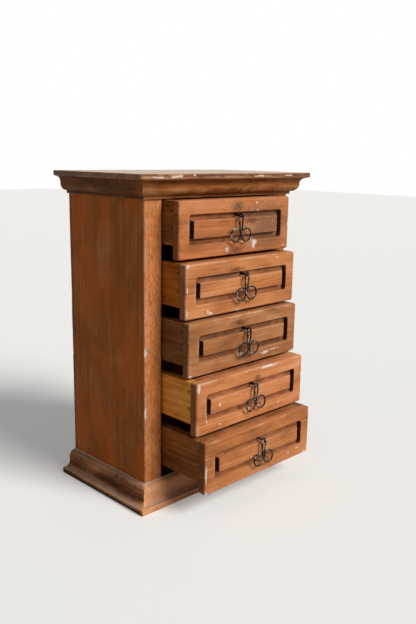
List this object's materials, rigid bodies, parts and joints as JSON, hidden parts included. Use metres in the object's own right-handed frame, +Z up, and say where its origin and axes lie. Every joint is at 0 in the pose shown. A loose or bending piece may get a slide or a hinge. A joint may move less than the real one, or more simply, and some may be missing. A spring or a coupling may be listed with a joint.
{
  "type": "desktop drawer cabinet",
  "caption": "Small wooden desktop cabinet with a moulded cornice and plinth and a stack of inset drawers; routed raised-panel fronts carry hanging wire ring pulls.",
  "frame": {"origin": "on the surface that the cabinet stands on, midway between the side boards and midway between their front and rear edges", "axes": "+Z up, +Y towards the back, so the drawers open along -Y; +X to the right as seen from the front"},
  "size_m": [0.2576, 0.2028, 0.35],
  "materials": {
    "cabinet_wood": "dark stained oak, worn satin",
    "top_wood": "faded, chipped edge with old paint",
    "inner_wood": "raw softwood darkened with age",
    "front_wood": "warm brown stain, worn to paler arrises",
    "box_wood": "yellow brown varnish",
    "panel_wood": "thin unfinished panel",
    "black_iron": "blackened wire, rubbed",
    "pin_steel": "dull panel pins"
  },
  "bodies": {
    "carcass": {"top_board": "top_wood", "cornice_front": "cabinet_wood", "cornice_left": "cabinet_wood", "cornice_right": "cabinet_wood", "side_left": "cabinet_wood", "side_right": "cabinet_wood", "carcass_top": "inner_wood", "carcass_bottom": "inner_wood", "back_panel": "panel_wood", "plinth_front": "cabinet_wood", "plinth_left": "cabinet_wood", "plinth_right": "cabinet_wood", "back_pins": "pin_steel", "runner_pins": "pin_steel", "runners_1": "inner_wood", "runners_2": "inner_wood", "runners_3": "inner_wood", "runners_4": "inner_wood", "runners_5": "inner_wood"},
    "drawer_1": {"drawer_1_front": "front_wood", "drawer_1_side_left": "box_wood", "drawer_1_side_right": "box_wood", "drawer_1_back": "box_wood", "drawer_1_bottom": "panel_wood", "drawer_1_pins": "pin_steel", "pull_eye_1": "black_iron"},
    "pull_1": {"ring_pull_1": "black_iron"},
    "drawer_2": {"drawer_2_front": "front_wood", "drawer_2_side_left": "box_wood", "drawer_2_side_right": "box_wood", "drawer_2_back": "box_wood", "drawer_2_bottom": "panel_wood", "drawer_2_pins": "pin_steel", "pull_eye_2": "black_iron"},
    "pull_2": {"ring_pull_2": "black_iron"},
    "drawer_3": {"drawer_3_front": "front_wood", "drawer_3_side_left": "box_wood", "drawer_3_side_right": "box_wood", "drawer_3_back": "box_wood", "drawer_3_bottom": "panel_wood", "drawer_3_pins": "pin_steel", "pull_eye_3": "black_iron"},
    "pull_3": {"ring_pull_3": "black_iron"},
    "drawer_4": {"drawer_4_front": "front_wood", "drawer_4_side_left": "box_wood", "drawer_4_side_right": "box_wood", "drawer_4_back": "box_wood", "drawer_4_bottom": "panel_wood", "drawer_4_pins": "pin_steel", "pull_eye_4": "black_iron"},
    "pull_4": {"ring_pull_4": "black_iron"},
    "drawer_5": {"drawer_5_front": "front_wood", "drawer_5_side_left": "box_wood", "drawer_5_side_right": "box_wood", "drawer_5_back": "box_wood", "drawer_5_bottom": "panel_wood", "drawer_5_pins": "pin_steel", "pull_eye_5": "black_iron"},
    "pull_5": {"ring_pull_5": "black_iron"}
  },
  "joints": [
    {"name": "drawer_1_slide", "type": "slide", "parent": "carcass", "child": "drawer_1", "axis": [0, -1, 0], "range_m": [-0.0245, 0.0705]},
    {"name": "pull_1_swing", "type": "hinge", "parent": "drawer_1", "child": "pull_1", "pos_m": [0, -0.0936, 0.30657], "axis": [-1, 0, 0], "range_deg": [-7, 150]},
    {"name": "drawer_2_slide", "type": "slide", "parent": "carcass", "child": "drawer_2", "axis": [0, -1, 0], "range_m": [-0.035, 0.06]},
    {"name": "pull_2_swing", "type": "hinge", "parent": "drawer_2", "child": "pull_2", "pos_m": [0, -0.1041, 0.24461], "axis": [-1, 0, 0], "range_deg": [-7, 150]},
    {"name": "drawer_3_slide", "type": "slide", "parent": "carcass", "child": "drawer_3", "axis": [0, -1, 0], "range_m": [-0.0405, 0.0545]},
    {"name": "pull_3_swing", "type": "hinge", "parent": "drawer_3", "child": "pull_3", "pos_m": [0, -0.1096, 0.18505], "axis": [-1, 0, 0], "range_deg": [-7, 150]},
    {"name": "drawer_4_slide", "type": "slide", "parent": "carcass", "child": "drawer_4", "axis": [0, -1, 0], "range_m": [-0.053, 0.042]},
    {"name": "pull_4_swing", "type": "hinge", "parent": "drawer_4", "child": "pull_4", "pos_m": [0, -0.1221, 0.12549], "axis": [-1, 0, 0], "range_deg": [-7, 150]},
    {"name": "drawer_5_slide", "type": "slide", "parent": "carcass", "child": "drawer_5", "axis": [0, -1, 0], "range_m": [-0.0665, 0.0285]},
    {"name": "pull_5_swing", "type": "hinge", "parent": "drawer_5", "child": "pull_5", "pos_m": [0, -0.1356, 0.06593], "axis": [-1, 0, 0], "range_deg": [-7, 150]}
  ]
}
